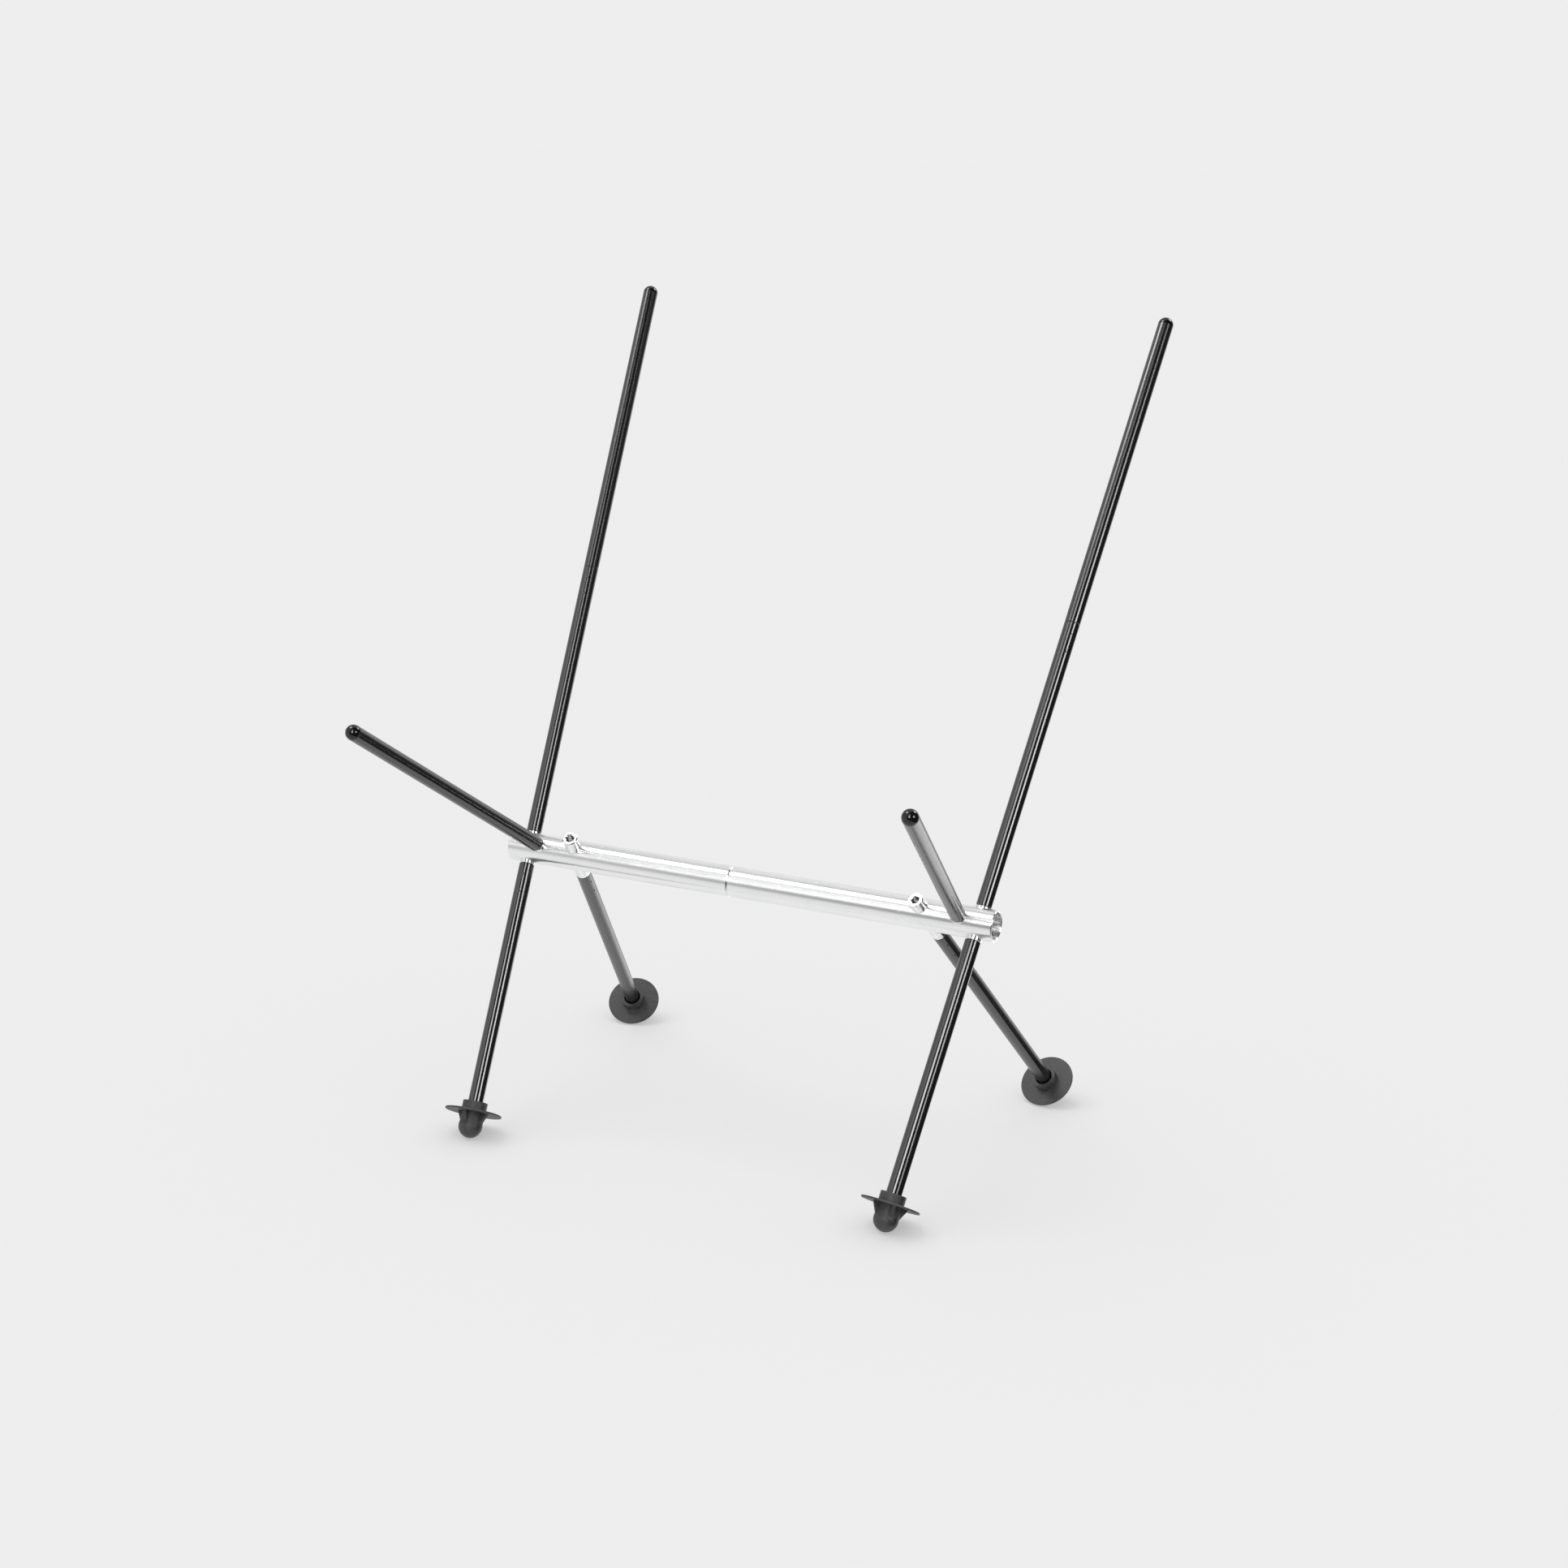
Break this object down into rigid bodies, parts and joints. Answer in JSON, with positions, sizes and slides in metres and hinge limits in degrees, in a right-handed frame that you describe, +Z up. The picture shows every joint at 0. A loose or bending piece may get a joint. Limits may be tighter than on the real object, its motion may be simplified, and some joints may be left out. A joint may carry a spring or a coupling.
{
  "type": "music stand",
  "caption": "Take-apart music stand with an aluminium crossbar, splayed legs on rubber feet, leaning uprights and forward ledge arms that screw into cross bushings.",
  "frame": {"origin": "on the floor, midway between the sides, in the middle of the stand's box from front to back", "axes": "+Z up, +X along the crossbar to the player's right, -Y towards the player"},
  "size_m": [0.3888, 0.3916, 0.5252],
  "materials": {
    "polished_aluminium": "polished drawn tube",
    "turned_aluminium": "bright turned",
    "black_rod": "gloss black enamel",
    "zinc_plated_steel": "zinc plated",
    "foot_rubber": "matt moulded",
    "black_plug": "gloss"
  },
  "bodies": {
    "crossbar_left": {"crossbar_left": "polished_aluminium", "crossbar_joining_stud": "zinc_plated_steel", "left_upright_bushing": "turned_aluminium", "left_rear_bushing": "turned_aluminium", "left_ledge_bushing": "turned_aluminium"},
    "crossbar_right": {"crossbar_right": "polished_aluminium", "crossbar_joining_sleeve": "zinc_plated_steel", "right_upright_bushing": "turned_aluminium", "right_rear_bushing": "turned_aluminium", "right_ledge_bushing": "turned_aluminium"},
    "left_upright_lower": {"left_upright_lower": "black_rod", "left_upright_lower_stud": "zinc_plated_steel", "left_upright_lower_socket": "zinc_plated_steel"},
    "left_upright_upper": {"left_upright_upper": "black_rod", "left_upright_upper_stud": "zinc_plated_steel", "left_upright_end_plug": "black_plug"},
    "left_front_leg": {"left_front_leg": "black_rod", "left_front_leg_stud": "zinc_plated_steel"},
    "left_front_foot": {"left_front_foot": "foot_rubber"},
    "left_rear_leg": {"left_rear_leg": "black_rod", "left_rear_leg_stud": "zinc_plated_steel"},
    "left_rear_foot": {"left_rear_foot": "foot_rubber"},
    "left_ledge_arm": {"left_ledge_arm": "black_rod", "left_ledge_arm_stud": "zinc_plated_steel", "left_ledge_end_plug": "black_plug"},
    "right_upright_lower": {"right_upright_lower": "black_rod", "right_upright_lower_stud": "zinc_plated_steel", "right_upright_lower_socket": "zinc_plated_steel"},
    "right_upright_upper": {"right_upright_upper": "black_rod", "right_upright_upper_stud": "zinc_plated_steel", "right_upright_end_plug": "black_plug"},
    "right_front_leg": {"right_front_leg": "black_rod", "right_front_leg_stud": "zinc_plated_steel"},
    "right_front_foot": {"right_front_foot": "foot_rubber"},
    "right_rear_leg": {"right_rear_leg": "black_rod", "right_rear_leg_stud": "zinc_plated_steel"},
    "right_rear_foot": {"right_rear_foot": "foot_rubber"},
    "right_ledge_arm": {"right_ledge_arm": "black_rod", "right_ledge_arm_stud": "zinc_plated_steel", "right_ledge_end_plug": "black_plug"}
  },
  "joints": [
    {"name": "crossbar_unscrews", "type": "slide", "parent": "crossbar_left", "child": "crossbar_right", "axis": [1, 0, 0], "range_m": [0, 0.016]},
    {"name": "left_upright_unscrews", "type": "slide", "parent": "crossbar_left", "child": "left_upright_lower", "axis": [-0.0715, 0.5152, 0.8541], "range_m": [0, 0.009]},
    {"name": "left_upper_upright_unscrews", "type": "slide", "parent": "left_upright_lower", "child": "left_upright_upper", "axis": [-0.0715, 0.5152, 0.8541], "range_m": [0, 0.009]},
    {"name": "left_front_leg_unscrews", "type": "slide", "parent": "crossbar_left", "child": "left_front_leg", "axis": [0.0715, -0.5152, -0.8541], "range_m": [0, 0.009]},
    {"name": "left_front_foot_pulls_off", "type": "slide", "parent": "left_front_leg", "child": "left_front_foot", "axis": [0.0715, -0.5152, -0.8541], "range_m": [0, 0.0107]},
    {"name": "left_rear_leg_unscrews", "type": "slide", "parent": "crossbar_left", "child": "left_rear_leg", "axis": [-0.165, 0.6777, -0.7166], "range_m": [0, 0.009]},
    {"name": "left_rear_foot_pulls_off", "type": "slide", "parent": "left_rear_leg", "child": "left_rear_foot", "axis": [-0.165, 0.6777, -0.7166], "range_m": [0, 0.0107]},
    {"name": "left_ledge_arm_unscrews", "type": "slide", "parent": "crossbar_left", "child": "left_ledge_arm", "axis": [-0.1616, -0.8239, 0.5432], "range_m": [0, 0.009]},
    {"name": "right_upright_unscrews", "type": "slide", "parent": "crossbar_right", "child": "right_upright_lower", "axis": [0.0715, 0.5152, 0.8541], "range_m": [0, 0.009]},
    {"name": "right_upper_upright_unscrews", "type": "slide", "parent": "right_upright_lower", "child": "right_upright_upper", "axis": [0.0715, 0.5152, 0.8541], "range_m": [0, 0.009]},
    {"name": "right_front_leg_unscrews", "type": "slide", "parent": "crossbar_right", "child": "right_front_leg", "axis": [-0.0715, -0.5152, -0.8541], "range_m": [0, 0.009]},
    {"name": "right_front_foot_pulls_off", "type": "slide", "parent": "right_front_leg", "child": "right_front_foot", "axis": [-0.0715, -0.5152, -0.8541], "range_m": [0, 0.0107]},
    {"name": "right_rear_leg_unscrews", "type": "slide", "parent": "crossbar_right", "child": "right_rear_leg", "axis": [0.165, 0.6777, -0.7166], "range_m": [0, 0.009]},
    {"name": "right_rear_foot_pulls_off", "type": "slide", "parent": "right_rear_leg", "child": "right_rear_foot", "axis": [0.165, 0.6777, -0.7166], "range_m": [0, 0.0107]},
    {"name": "right_ledge_arm_unscrews", "type": "slide", "parent": "crossbar_right", "child": "right_ledge_arm", "axis": [0.1616, -0.8239, 0.5432], "range_m": [0, 0.009]}
  ]
}
